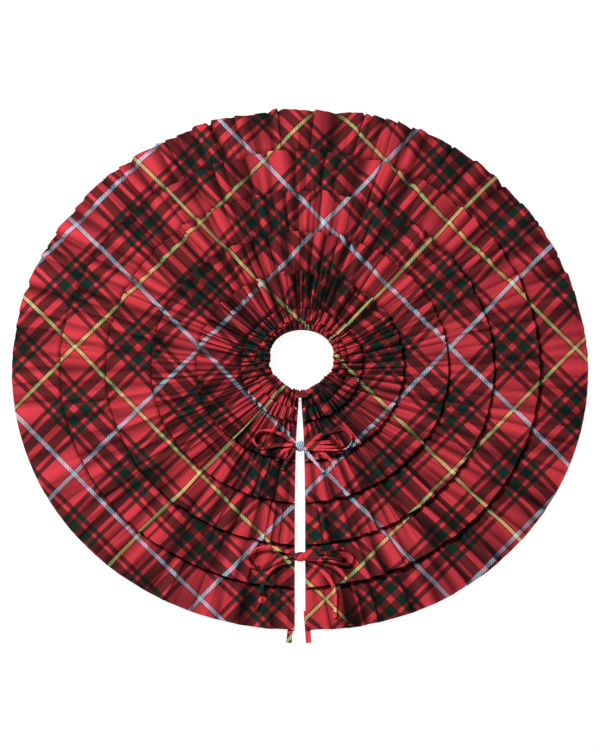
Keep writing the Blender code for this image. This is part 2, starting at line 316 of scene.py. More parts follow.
# %% From arrays to a mesh
def plaid_place(x, y, painted_light=1.0):
    """Place on the flat cloth of a point of the plan: the two diagonals, measured from a
    crossing of two pale blue lines. The third value is painted light, multiplied into the colour:
    1 on open cloth, less for shade painted into a crease, and above 1 for a painted highlight."""
    return np.stack([x - PLAN_SQUASH * y - PLAID_ORIGIN[0],
                     x + PLAN_SQUASH * y - PLAID_ORIGIN[1],
                     np.broadcast_to(painted_light, x.shape)], axis=-1)


def grid_faces(rows, columns, closed_rows=False):
    """Quads between neighbouring rows and columns of a grid, as one array of indices."""
    index = np.arange(rows * columns).reshape(rows, columns)
    if closed_rows:
        index = np.vstack([index, index[:1]])
    return np.stack([index[:-1, :-1], index[:-1, 1:], index[1:, 1:], index[1:, :-1]],
                    axis=-1).reshape(-1, 4)


def cloth_object(name, points, plaid, faces):
    """Points and quads as a mesh object at the origin, smooth, with its plaid attribute."""
    mesh = bpy.data.meshes.new(name)
    mesh.from_pydata(points.reshape(-1, 3), [], faces)
    attribute = mesh.attributes.new("plaid", "FLOAT_VECTOR", "POINT")
    attribute.data.foreach_set("vector", plaid.reshape(-1).astype(np.float32))
    obj = bpy.data.objects.new(name, mesh)
    bpy.context.scene.collection.objects.link(obj)
    return obj


print("quads in a grid of 3 rows and 4 columns:", len(grid_faces(3, 4)))


# %% Thickness of the cloth
def thicken(obj, thickness):
    """Gives an open surface the thickness of its cloth, inwards from the surface, and makes the
    result its mesh."""
    solid = obj.modifiers.new("cloth", "SOLIDIFY")
    solid.thickness = thickness
    solid.offset = -1.0
    graph = bpy.context.evaluated_depsgraph_get()
    mesh = bpy.data.meshes.new_from_object(obj.evaluated_get(graph))
    obj.modifiers.clear()
    obj.data = mesh
    mesh.name = obj.name
    mesh.shade_smooth()
    mesh.set_sharp_from_angle(angle=math.radians(55))
    return obj


def cloth_shell(name, points, plaid, thickness, flipped, closed_rows=False):
    """A grid of points as cloth of a thickness. The faces are turned over where the grid runs
    the other way round, so that they point outwards on both halves."""
    faces = grid_faces(*points.shape[:2], closed_rows)
    if flipped:
        faces = faces[:, ::-1]
    return thicken(cloth_object(name, points, plaid, faces), thickness)


# %% Small helpers for every piece
def round_axis(reach, angle, z):
    """Points at a distance from the Z axis, at an angle round it, and at a height."""
    return np.stack(np.broadcast_arrays(reach * np.cos(angle), reach * np.sin(angle), z), axis=-1)


def triangles(obj):
    """Number of triangles: a face with n corners makes n - 2."""
    return sum(len(face.vertices) - 2 for face in obj.data.polygons)


def finish_piece(obj, material):
    """Gives a piece its material, and says how fine it is."""
    obj.data.materials.append(material)
    print(obj.name, triangles(obj), "triangles")
    return obj


def smoothstep(low, high, value):
    """0 below low, 1 above high, and the soft cubic 3t^2 - 2t^3 between."""
    t = np.clip((value - low) / (high - low), 0.0, 1.0)
    return t * t * (3 - 2 * t)


print("smoothstep a quarter of the way:", smoothstep(0, 1, 0.25))


# %% [markdown]
# ## Gathers
#
# When a long strip is drawn up on a thread it buckles into folds that are never equal. A fold
# runs between two creases, is round on top, has its own height, and tends to fall to one side.
# So the folds are made from a list of creases at uneven angles. Near the thread they are narrow
# and deep, and further out they run together into fewer and wider ones: three lists of creases,
# each with its own share, follow that.

# %% Folds between creases
def creases(seed, count):
    """Uneven crease angles for a full turn, and each fold's height and lean."""
    random = np.random.default_rng(seed)
    widths = random.uniform(0.5, 1.6, count)
    edges = np.concatenate([[0.0], np.cumsum(widths)])
    edges = edges / edges[-1] * 2 * np.pi - np.pi / 2
    heights = random.uniform(0.35, 1.0, count)
    leans = random.uniform(0.3, 1.0, count) * random.choice([1, 1, 1, 1, -1], count)
    return edges, heights, leans


def folds(angle, pattern, roundness=0.6, flank=0.2):
    """Height, sideways lean, light and step of the folds at each angle. Across a fold t runs from
    0 to 1, backwards where the fold falls the other way. q is t stretched so that q = 1/2 at
    t = 1 - width: up to there the cloth is a wide panel, and past it it drops steeply. The height
    is (4 q (1 - q)) to the power of the roundness. Light is near 0 in a deep crease and 1 on open
    cloth. The step is how far the hem of the panel has come out over its neighbour."""
    edges, heights, leans = pattern
    span = np.clip(np.searchsorted(edges, angle) - 1, 0, len(heights) - 1)
    tall, side_lean = heights[span], leans[span]
    t = np.clip((angle - edges[span]) / (edges[span + 1] - edges[span]), 0.0, 1.0)
    t = np.where(side_lean > 0, t, 1 - t)
    width = flank + (0.45 - flank) * (1 - np.abs(side_lean))
    q = np.where(t < 1 - width, 0.5 * t / (1 - width), 1 - 0.5 * (1 - t) / width)
    rise = tall * np.maximum(4 * q * (1 - q), 0.0) ** roundness
    shade = np.clip(t / 0.45, 0, 1) ** 1.1 * np.clip((1 - t) / (0.8 * width), 0, 1) ** 0.7
    step = tall * (t * np.clip((1 - t) / (0.5 * width), 0, 1) - 0.35)
    return rise, rise * side_lean, 1 - (1 - shade) * (0.5 + 0.5 * tall), step


def ripple(first, second, seed, scale_first, scale_second):
    """A smooth irregular wave over two parameters: a few sines with uneven periods."""
    random = np.random.default_rng(seed)
    total = np.zeros(np.broadcast(first, second).shape)
    for _ in range(5):
        a = random.uniform(0.4, 1.6) * scale_first * random.choice([-1, 1])
        b = random.uniform(0.4, 1.6) * scale_second
        total = total + np.sin(a * first + b * second + random.uniform(0, 2 * np.pi))
    return total / 5


trial = folds(np.linspace(0, 1, 200), creases(1, 40))
print("a trial: tallest fold", trial[0].max().round(2), "darkest crease", trial[2].min().round(2))


# %% The slit and the two halves
# radius and half the slit's width there, in metres
SLIT_STOPS = ((0.085, 0.0030), (0.100, 0.0040), (0.115, 0.0053), (0.15, 0.0072), (0.19, 0.0088),
              (0.30, 0.0106), (0.62, 0.0112))
SIDE_SIGN = {"left": -1, "right": 1}
# the last hem is not a true circle: angle, spread and depth of each bay (negative: a bulge)
BAYS = {"left": ((1.5 * math.pi, 0.75, 0.010),),
        "right": ((-0.5 * math.pi, 0.35, 0.009), (1.10, 0.30, -0.008))}


def slit_half_width(radius):
    """Half the slit at a distance from the middle: a narrow V, then nearly parallel."""
    stops = np.array(SLIT_STOPS)
    return np.interp(radius, stops[:, 0], stops[:, 1])


def half_turn(radii, columns, side):
    """Angles of a half ring, one row for each radius: from the back middle, at 90 degrees, round
    to the slit's edge. The left half runs up to 270 degrees and the right one down to -90."""
    end = np.pi - np.arcsin(slit_half_width(radii) / radii)
    share = np.linspace(0.0, 1.0, columns)
    turn = end[:, None] * share[None, :]
    return np.pi / 2 - SIDE_SIGN[side] * turn


def edge_distance(angle, radii):
    """Distance along the cloth from the slit's edge."""
    down = np.abs(np.pi - np.abs(angle - np.pi / 2))
    return down * radii[:, None] - slit_half_width(radii)[:, None]


def fullness(angle):
    """How strongly the cloth is gathered: most at the front and the back, least at the sides."""
    return 0.50 + 0.50 * np.abs(np.sin(angle)) ** 1.3


print("slit at the hem in mm:", round(2000 * float(slit_half_width(0.6)), 1))


# %% [markdown]
# ## The five ruffles
#
# Each ruffle is sewn under the hem above it and lies on the heading of the next, so it rises
# outwards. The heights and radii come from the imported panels, and the folds are added on top.

# %% Sizes of the ruffles
TIERS = range(1, 6)
HEADINGS = {k: ring_radii(f"tier_{k}_rear")[0] for k in TIERS}
HEMS = {k: ring_radii(f"tier_{k}_rear")[1] for k in TIERS}
HEM_STITCH = 0.008             # the hem is sewn this far from its edge
CLOTH = 0.0008                 # brushed cotton, doubled at its hem
PAINTED_PLEAT_SHADE = (-1.383, 0.021)    # middle and half width, as angles, of a band of painted shade in tier 5
BOW_SHADES = (-0.186, -0.443)  # where along the slit the two bows shade the cloth
ROW_STEP = 0.0052
# the last rows by their distance from the hem, close together beside the stitches
HEM_ROWS = np.array([0.0, 0.0015, 0.0040, 0.0068, 0.0080, 0.0092, 0.0125])
COLUMN_STEP = {1: 0.0011, 2: 0.0013, 3: 0.0014, 4: 0.0015, 5: 0.0016}    # at the hem
FREE_CAP = 0.0120              # most that folds rise away from the heading

CREASE_DARK = 0.95             # light lost at the bottom of a deep crease
DEEPER = {1: 1.9, 2: 1.3}      # power of the light on the tiers near the collar, gathered more
# folds in a full turn, rise at the heading and at the hem, lean at the hem (mm), share of flank
GATHER_LISTS = (
    (128, 4.6, 1.0, 1.0, 0.30),
    (82, 5.0, 7.0, 6.0, 0.20),
    (37, 1.0, 6.5, 6.0, 0.10),
)
print("hem radii in mm:", [round(HEMS[k] * 1000) for k in TIERS])


# %% Rows, and folds from the three lists
def row_radii(inner, hem):
    """Radii of the rows of a ruffle: even steps, and closer ones beside the hem's stitches."""
    count = int(round((hem - inner - HEM_ROWS[-1]) / ROW_STEP))
    return np.concatenate([np.linspace(inner, hem - HEM_ROWS[-1], count, endpoint=False),
                           hem - HEM_ROWS[::-1]])


def gather(angle, share, seed, strength, cap):
    """Fold height, sideways shift and reach past the hem in metres, and light. Each list of
    creases gives rise times height, and the sum is held under a cap by cap times
    tanh(sum / cap). Light is a product: each list takes away its own share of it in a crease,
    more where its folds rise more."""
    height, lean, reach, light = 0.0, 0.0, 0.0, 1.0
    for index, (count, at_heading, at_hem, tilt, flank) in enumerate(GATHER_LISTS):
        pattern = creases(seed + 17 * index, count)
        wander = 0.014 * share * ripple(angle, share, seed + 5 + index, 9.0, 3.0)
        fold, side_lean, lit, step = folds(angle + wander, pattern, 0.75, flank)
        flow = 0.75 + 0.35 * ripple(angle, share, seed + 50 + index, 31.0, 4.0)
        rise = (at_heading + (at_hem - at_heading) * smoothstep(0.0, 0.9, share)) * flow
        height = height + MM * rise * fold
        light = light * (1 - np.clip(rise / 5.0, 0, 1) * strength ** 0.5 * CREASE_DARK * (1 - lit))
        lean = lean + MM * tilt * side_lean * smoothstep(0.0, 0.8, share)
        reach = reach + MM * (0.5 + 0.9 * tilt) * step * share ** 2
    height, lean = height * strength, lean * strength
    return cap * np.tanh(height / cap), lean, reach * strength, light


print("rows of each ruffle:", [len(row_radii(HEADINGS[k], HEMS[k])) for k in TIERS])


# %% Where a ruffle lies, and its shade
def tier_floor(tier, radii):
    """Height of the underside of a ruffle: a straight line from its heading to its hem."""
    low, high = corners_of(f"tier_{tier}_rear")
    rise = high[2] - low[2] - 0.005
    share = (radii - HEADINGS[tier]) / (HEMS[tier] - HEADINGS[tier])
    return low[2] + rise * np.clip(share, 0.0, 1.0)


def hem_line(tier, angle):
    """Distance from the axis to a ruffle's hem at each angle, with its uneven reach. Tier 0 is
    the frill of the collar."""
    if tier == 0:
        return ring_radii("collar_frill_rear")[1] + 0.004 + 0.004 * np.sin(angle)
    _, _, reach, _ = gather(angle, 1.0, 100 * tier, fullness(angle), 0.012)
    return HEMS[tier] + reach * reach_share(tier, angle)


def reach_share(tier, angle):
    """Pleats end at uneven distances, but on the last tier only at the back."""
    low = 0.30 if tier == 5 else 0.85
    return low + (1.35 - low) * smoothstep(-0.2, 0.5, np.sin(angle))


def bow_shade(x, y):
    """The cloth round each bow is in its shade: 65% of the light is lost within 25 mm of the
    slit's middle, and a bell curve brings it back, 28 mm wide sideways and 24 mm lengthways."""
    beyond = np.maximum(np.abs(x) - 0.025, 0.0)
    shade = 1.0
    for middle in BOW_SHADES:
        shade = shade * (1 - 0.65 * np.exp(-(beyond / 0.028) ** 2 - ((y - middle) / 0.024) ** 2))
    return shade


print("light under the upper bow:", bow_shade(0.0, BOW_SHADES[0]).round(2))


# %% Surface of one ruffle
def ruffle(tier, side):
    """A gathered half ring of cloth from its heading to its hem, from the back middle to the
    slit. Its height is the line from heading to hem, plus the folds, less a groove at the hem's
    stitches. Light is lost in creases, under the hem above, and round the bows."""
    inner, hem = HEADINGS[tier], HEMS[tier]
    rows = row_radii(inner, hem)
    columns = int(math.pi * hem / COLUMN_STEP[tier])
    angle = half_turn(rows, columns, side)
    radii = np.broadcast_to(rows[:, None], angle.shape)
    share = (radii - inner) / (hem - inner)

    flat = smoothstep(0.002, 0.022, edge_distance(angle, rows))
    strength = fullness(angle) * flat * (1.25 if tier == 1 else 1.0)
    low_cap = 0.0065 if tier == 1 else 0.0043
    cap = low_cap + (FREE_CAP - low_cap) * smoothstep(0.15, 0.45, share)
    height, lean, reach, light = gather(angle, share, 100 * tier, strength, cap)

    turn = angle + lean / radii
    bays = sum(depth * np.exp(-((angle - place) / spread) ** 2)
               for place, spread, depth in BAYS[side])
    reach_out = radii + reach * reach_share(tier, angle) - bays * share * (tier == 5)
    # painted shade: deeper crease shade on the tiers near the collar, and a painted shadow of the
    # hem above on the cloth just past it, in a band wider at the back
    past_hem = np.maximum(radii - hem_line(tier - 1, angle), 0.0)
    band = 0.005 + 0.005 * smoothstep(-0.3, 0.8, np.sin(angle))
    light = np.clip(light, 0.0, 1.0) ** DEEPER.get(tier, 1.0)
    light = light * (1 - 0.8 * np.exp(-(past_hem / band) ** 2))
    # painted shadow round the two bows
    light = light * bow_shade(radii * np.cos(angle), radii * np.sin(angle))
    # a band of painted shade, like the shaded inside of a deep fold, where the folds are flattened
    if tier == 5 and side == "right":
        painted_shade_band = smoothstep(1.15, 0.85, np.abs(angle - PAINTED_PLEAT_SHADE[0]) / PAINTED_PLEAT_SHADE[1])
        light = light * (1 - 0.80 * painted_shade_band)
        height = height * (1 - 0.85 * painted_shade_band)
    z = tier_floor(tier, radii) + 0.0005 + CLOTH + height
    z = z - 0.0004 * np.exp(-((hem - radii - HEM_STITCH) / 0.0012) ** 2)
    z = z + (0.0018 if tier < 5 else -0.0015) * smoothstep(0.85, 1.0, share) * flat
    z = z + 0.0009 * np.exp(-((edge_distance(angle, rows) - 0.006) / 0.0016) ** 2)
    if tier == 5:
        clear = smoothstep(0.045, 0.075, np.abs(radii * np.cos(angle)))
        over_ties = np.where(np.sin(angle) < 0, clear, 1.0)
        z = z - 0.0030 * smoothstep(0.60, 1.0, share) * over_ties
    woven_turn = angle + 0.5 * lean / radii
    plaid = plaid_place(radii * np.cos(woven_turn), radii * np.sin(woven_turn), light)
    points = round_axis(reach_out, turn, z)
    return cloth_shell(f"ruffle_{tier}_{side}", points, plaid, CLOTH, side == "left")


# %% Make the ten half ruffles
FRONT_BODY = {"left": "front_left", "right": "front_right"}


def follow_fold(obj, side, *nodes):
    """Bakes a half ring's place into its mesh and hides the panels of the model that it replaces.
    """
    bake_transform(obj)
    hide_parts(*nodes)
    return obj


for tier in TIERS:
    for side in SIDE_SIGN:
        cloth = finish_piece(ruffle(tier, side), ruffle_cloth)
        follow_fold(cloth, side, f"tier_{tier}_rear", f"tier_{tier}_front_{side}")

# %% [markdown]
# ## The collar
#
# The collar is a tube of cloth with a flat elastic inside. A row of stitches along its middle
# makes two rows of puffs. Outside it stands a short frill, which is the raw width of the same
# strip. A closed curve carried round the ring gives the tube, and the puffs push in from it.

# %% Casing of the collar
CASING_LOW, CASING_HIGH = corners_of("collar_casing_rear")
CASING_IN, CASING_OUT = ring_radii("collar_casing_rear")
CASING_SHELL = 0.001
PUFFS_IN, PUFFS_OUT, TUCKS = 44, 50, 150       # in a full turn
PUFF_DEPTH, PUFF_LEAN = 0.0095, 0.0025         # how far a crease goes in, and how far it tips
GROOVE_DEPTH, GROOVE_SPREAD = 0.0050, 0.22     # along the row of stitches, spread in radians
ELASTIC_ROOM = 0.0062          # the creases leave this much on each side of the tube's middle
EDGE_OF_RING = 0.085           # radius at which the casing's slit edge is cut


def set_back(angle):
    """The hole sits a little towards the back: there its edge is further out, and at the front
    the puffs lean in over the hole. Both follow sin(angle) through a smoothstep. A bell at 4
    radians and a cosine squared draw it in a little at the front left and at the sides."""
    return (0.011 * smoothstep(0.05, 0.95, np.sin(angle))
            - 0.014 * smoothstep(0.05, 0.8, -np.sin(angle))
            - 0.003 * np.exp(-((angle - 4.0) / 0.5) ** 2) - 0.0025 * np.cos(angle) ** 2)


def off_centre(points, angle, part=1.0):
    """Moves the collar 4 mm to the right and 7 mm back, less and less towards the slit."""
    share = smoothstep(-1.0, 0.2, np.sin(angle)) * part
    points[..., 0] += 0.004 * share
    points[..., 1] += 0.007 * share
    return points


print("trunk hole in the model, across in mm:", round(2000 * CASING_IN))


# %% Surface of the casing
def casing(side):
    """A tube round the ring. Its section is the oval r + a cos p, z + b sin p, pushed inwards by
    the creases of the puffs, by finer tucks, and by a stitched groove at the top and the
    bottom. The push stops short of the elastic, and below it stays near the cloth it lies on."""
    across, columns = 44, 330
    swing = np.linspace(0, 2 * np.pi, across, endpoint=False)[:, None]
    angle = half_turn(np.full(across, EDGE_OF_RING), columns, side)
    inside_edge = CASING_IN + set_back(angle)
    middle, half_width = (inside_edge + CASING_OUT) / 2, (CASING_OUT - inside_edge) / 2
    half_height = (CASING_HIGH[2] - CASING_LOW[2]) / 2
    centre_z = (CASING_HIGH[2] + CASING_LOW[2]) / 2
    inner, inner_lean, inner_lit, _ = folds(angle, creases(701, PUFFS_IN), 0.55)
    outer, outer_lean, outer_lit, _ = folds(angle, creases(702, PUFFS_OUT), 0.55)
    outward = smoothstep(-0.25, 0.25, np.cos(swing))
    puff = inner * (1 - outward) + outer * outward
    tucks, _, tucks_lit, _ = folds(angle + 0.012 * np.sin(2 * swing), creases(704, TUCKS), 0.6)
    puff = 0.65 * puff + 0.35 * tucks
    # painted shade in the creases of the puffs and tucks, and a painted highlight up to 1.25 on
    # their tops
    light = inner_lit * (1 - outward) + outer_lit * outward
    light = 1.25 * (0.01 + 0.99 * light ** 2.4) * (0.07 + 0.93 * tucks_lit ** 1.5)
    lean = (inner_lean * (1 - outward) + outer_lean * outward) * PUFF_LEAN
    crumple = ripple(angle, swing, 703, 60.0, 3.0)
    groove = sum(np.exp(-((swing - place * np.pi) / GROOVE_SPREAD) ** 2) for place in (0.5, 1.5))
    push = PUFF_DEPTH * (1 - puff) * (0.7 + 0.3 * np.abs(np.sin(swing)))
    push = push + GROOVE_DEPTH * groove * puff
    push = push + 0.0006 * crumple + 0.0014 * ripple(angle, 0.0, 705, 17.0, 0.0) * (1 - outward)
    ends = smoothstep(0.0, 0.010, edge_distance(angle, np.full(across, EDGE_OF_RING)))
    flatten = 0.35 + 0.65 * ends
    reach = middle + (half_width - np.minimum(push, half_width - ELASTIC_ROOM)) * np.cos(swing)
    kept = 0.0045 + 0.0075 * smoothstep(0.2, -0.2, np.sin(swing))
    z = centre_z + (half_height - np.minimum(push, half_height - kept)) * np.sin(swing) * flatten
    points = off_centre(round_axis(reach, angle + lean / reach * ends, z), angle)
    # painted shade along the stitched grooves too
    plaid = plaid_place(points[..., 0], points[..., 1], light * (1 - 0.6 * groove))
    return cloth_shell(f"collar_casing_{side}", points, plaid, CASING_SHELL, side == "right",
                       closed_rows=True)


# %% Frill outside the casing
FRILL_IN, FRILL_OUT = ring_radii("collar_frill_rear")
FRILL_CLOTH = 0.0007
PLEATS = 56                    # in a full turn, with three fine ones to each


def frill(side):
    """A short gathered half ring that slopes down outwards. Its pleats have flat tops,
    (4 q (1 - q)) to the power 0.4, rise 3 to 8.5 mm, carry fine ones of 2 mm, and end at
    different distances, so that the edge looks cut in steps."""
    rows = np.linspace(FRILL_IN - 0.0025, FRILL_OUT + 0.002, 14)
    columns = int(math.pi * FRILL_OUT / 0.0009)
    angle = half_turn(rows, columns, side)
    radii = np.broadcast_to(rows[:, None], angle.shape)
    share = (radii - rows[0]) / (rows[-1] - rows[0])
    flat = smoothstep(0.001, 0.010, edge_distance(angle, rows))
    wide, wide_lean, wide_lit, step = folds(angle, creases(811, PLEATS), 0.40)
    fine, fine_lean, fine_lit, _ = folds(angle, creases(812, 3 * PLEATS), 0.60)
    height = MM * ((3.0 + 5.5 * share) * wide + (1.6 + 0.6 * share) * fine) * flat
    lean = MM * (3.2 * wide_lean + 0.8 * fine_lean) * share * flat
    reach = MM * 7.0 * step * share ** 2 * flat
    z = 0.0160 - 0.0058 * share + height
    points = off_centre(round_axis(radii + reach, angle + lean / radii, z), angle)
    # painted shade in the creases of the pleats, and a painted highlight up to 1.2 on their tops
    light = 1.2 * (0.01 + 0.99 * wide_lit ** 2.2) * (0.08 + 0.92 * fine_lit ** 1.4)
    plaid = plaid_place(points[..., 0], points[..., 1], 1 - flat * (1 - light))
    return cloth_shell(f"collar_frill_{side}", points, plaid, FRILL_CLOTH, side == "left")


# %% Make the collar
collar_cloth = plaid_material("plaid_brushed_cotton_collar", 0.80, 0.30)
for side in SIDE_SIGN:
    tube = follow_fold(casing(side), side, "collar_casing_rear", f"collar_casing_front_{side}")
    edge = follow_fold(frill(side), side, "collar_frill_rear", f"collar_frill_front_{side}")
    for piece, fullest, inner, outer, depth in ((tube, 1.2, CASING_IN, CASING_OUT, 0.090),
                                                (edge, 1.3, FRILL_IN, FRILL_OUT, 0.032)):
        finish_piece(piece, collar_cloth)

# %% [markdown]
# ## Sections carried along a path
#
# The elastic, the bindings, the ties, the tab and the knots are closed solids. Each one is a
# closed section that is carried along a path, and the two ends are shut with a face.

# %% A section along a path
def swept_object(name, rings, plaid=None):
    """rings has one closed section for each place along the path. Neighbouring sections are
    joined by quads, and the first and last are shut."""
    count, across = rings.shape[:2]
    index = np.arange(count * across).reshape(count, across)
    around = np.roll(index, -1, axis=1)
    sides = np.stack([index[:-1], around[:-1], around[1:], index[1:]], axis=-1).reshape(-1, 4)
    faces = sides.tolist() + [index[0, ::-1].tolist(), index[-1].tolist()]
    if plaid is None:
        plaid = plaid_place(rings[..., 0], rings[..., 1])
    obj = cloth_object(name, rings, plaid, faces)
    if signed_volume(obj) < 0:
        obj.data.flip_normals()
    obj.data.shade_smooth()
    obj.data.set_sharp_from_angle(angle=math.radians(50))
    return obj


def signed_volume(obj):
    """Sum over the faces of corner . (corner x corner) / 6, positive when they point out."""
    mesh = obj.data
    mesh.calc_loop_triangles()
    corners = np.empty(len(mesh.loop_triangles) * 3, dtype=np.int32)
    mesh.loop_triangles.foreach_get("vertices", corners)
    places = np.empty(len(mesh.vertices) * 3)
    mesh.vertices.foreach_get("co", places)
    a, b, c = places.reshape(-1, 3)[corners].reshape(-1, 3, 3).transpose(1, 0, 2)
    return float((a * np.cross(b, c)).sum() / 6)


def flat_section(half_width, half_thickness, points=14, squareness=0.35):
    """A flattened closed curve: cos and sin with their size raised to a power, which squares
    the corners."""
    swing = np.linspace(0, 2 * np.pi, points, endpoint=False)
    across = np.sign(np.cos(swing)) * np.abs(np.cos(swing)) ** squareness
    up = np.sign(np.sin(swing)) * np.abs(np.sin(swing)) ** squareness
    return half_width * across, half_thickness * up


print("corners of a strip's section:", len(flat_section(1.0, 0.1)[0]))

# %% [markdown]
# ## The elastic
#
# The band inside the casing is woven elastic, off white and ribbed. It hardly shows, so a flat
# band along the tube's middle is enough, and its ribs are the rings of a wave texture.

# %% Elastic in the casing
ELASTIC_WIDTH = 0.0085         # as wide as the casing leaves room for at its deepest creases


def elastic(side):
    """A woven band round the ring, drawn up into small waves, that ends inside the casing."""
    low, high = corners_of("collar_elastic_rear")
    columns = 200
    end = np.pi - 0.012 / EDGE_OF_RING
    angle = np.pi / 2 - SIDE_SIGN[side] * np.linspace(0, end, columns)
    inside_edge = CASING_IN + set_back(angle)
    across, up = flat_section(ELASTIC_WIDTH / 2, 0.0008, 16)
    wave = 0.0004 * np.sin(angle * 92)
    reach = (inside_edge + CASING_OUT)[:, None] / 2 + across[None, :]
    z = (low[2] + high[2]) / 2 + up[None, :] + wave[:, None]
    rings = off_centre(round_axis(reach, angle[:, None], z), angle[:, None])
    return swept_object(f"collar_elastic_{side}", rings)


def woven_elastic():
    """Off-white woven elastic: ribs along the band every 1.5 mm, as rings round the axis."""
    material, tree, shader = new_material("woven_elastic_off_white")
    place = add_node(tree, "ShaderNodeTexCoord")
    rows = add_node(tree, "ShaderNodeTexWave", {"wave_type": "RINGS", "rings_direction": "Z"},
                    {"Scale": math.pi / (10 * 0.0015), "Distortion": 0.5},
                    {"Vector": place.outputs["Object"]})
    tint = add_node(tree, "ShaderNodeMix", {"data_type": "RGBA"},
                    {6: linear("D8D2C4"), 7: linear("F2EEE4")}, {"Factor": rows.outputs["Fac"]})
    tree.links.new(tint.outputs[2], shader.inputs["Base Color"])
    relief = add_node(tree, "ShaderNodeBump", (), {"Strength": 0.5, "Distance": 0.0004},
                      {"Height": rows.outputs["Fac"]})
    tree.links.new(relief.outputs[0], shader.inputs["Normal"])
    shader.inputs["Roughness"].default_value = 0.7
    return material


elastic_band = woven_elastic()
for side in SIDE_SIGN:
    band = finish_piece(elastic(side), elastic_band)
    follow_fold(band, side, "collar_elastic_rear", f"collar_elastic_front_{side}")

# %% [markdown]
# ## Base cloth and bindings
#
# The ruffles are sewn to a plain base cloth. It shows only from below, or when the skirt is
# folded, so it is a flat sheet with slight puckers along its rings of stitches. Its two edges at
# the slit are bound with folded strips.

# %% Surface of the base cloth
BASE_IN, BASE_OUT = ring_radii("base_rear")
BASE_EDGE = float(corners_of("placket_right")[1][0]) + 0.0003   # from the slit's middle
BASE_CLOTH = 0.0009


def stitched_rings(radii):
    """1 on each ring of stitches that holds a ruffle's heading, and 0 away from them."""
    return sum(np.exp(-((radii - HEADINGS[k]) / 0.0025) ** 2) for k in TIERS)


def base_cloth(side):
    """A flat half ring whose edge at the slit is straight, pulled up at the stitches."""
    rows = np.unique(np.concatenate([np.linspace(BASE_IN, BASE_OUT, 70)]
                                    + [HEADINGS[k] + np.array([-0.003, -0.0015, 0, 0.0015, 0.003])
                                       for k in TIERS]))
    columns = 360
    end = np.pi - np.arcsin(BASE_EDGE / rows)
    angle = np.pi / 2 - SIDE_SIGN[side] * end[:, None] * np.linspace(0, 1, columns)[None, :]
    radii = np.broadcast_to(rows[:, None], angle.shape)
    near_hole = 1 - smoothstep(BASE_IN, BASE_IN + 0.04, radii)
    radii = radii + (0.003 + np.maximum(set_back(angle), 0.0)) * near_hole
    pucker = 0.5 + 0.5 * ripple(angle, radii, 905, 55.0, 90.0)
    z = 0.0003 + BASE_CLOTH + 0.00035 * pucker + 0.00035 * stitched_rings(radii)
    points = off_centre(round_axis(radii, angle, z), angle, near_hole)
    plaid = plaid_place(points[..., 0], points[..., 1])
    return cloth_shell(f"base_cloth_{side}", points, plaid, BASE_CLOTH, side == "left")


print("base cloth reaches from", round(BASE_IN * 1000), "to", round(BASE_OUT * 1000), "mm")

# %% [markdown]
# ## Plain cotton
#
# The base cloth and the bindings are cheap plain cotton, dyed red. A picture of cloth would show
# its edges and repeat, so two crossed waves make the threads instead, and the same waves give the
# relief. Uneven noise below them is the dye.

# %% Plain cotton as a material
def plain_cotton(name, light, dark, thread):
    """Plain woven cotton, matt: crossing threads, drawn coarser than they are so that they
    show, over a faint unevenness of the dye."""
    material, tree, shader = new_material(name)
    place = add_node(tree, "ShaderNodeTexCoord").outputs["Object"]
    threads = []
    for direction in ("X", "Y"):
        wave = add_node(tree, "ShaderNodeTexWave", {"bands_direction": direction},
                        {"Scale": math.pi / (10 * thread), "Distortion": 1.0, "Detail": 2.0,
                         "Detail Scale": 2.0}, {"Vector": place})
        threads.append(wave.outputs["Fac"])
    weave = add_node(tree, "ShaderNodeMath", {"operation": "MULTIPLY"}, (),
                     {0: threads[0], 1: threads[1]})
    noise = add_node(tree, "ShaderNodeTexNoise", (), {"Scale": 25.0, "Detail": 5.0},
                     {"Vector": place})
    blend = add_node(tree, "ShaderNodeMath", {"operation": "MULTIPLY_ADD"}, {1: 0.6},
                     {0: weave.outputs[0], 2: noise.outputs["Fac"]})
    tint = add_node(tree, "ShaderNodeMix", {"data_type": "RGBA"},
                    {6: linear(dark), 7: linear(light)}, {"Factor": blend.outputs[0]})
    tree.links.new(tint.outputs[2], shader.inputs["Base Color"])
    relief = add_node(tree, "ShaderNodeBump", (), {"Strength": 0.4, "Distance": 0.0003},
                      {"Height": weave.outputs[0]})
    tree.links.new(relief.outputs[0], shader.inputs["Normal"])
    shader.inputs["Roughness"].default_value = 0.85
    shader.inputs["Specular IOR Level"].default_value = 0.25
    shader.inputs["Sheen Weight"].default_value = 0.08
    return material


base_lining = plain_cotton("plain_cotton_base", "A3202C", "70121B", 0.0012)
for side in SIDE_SIGN:
    lining = finish_piece(base_cloth(side), base_lining)
    follow_fold(lining, side, "base_rear", f"base_front_{side}")


# %% Bindings at the slit
BINDING_CLOTH = 0.0004


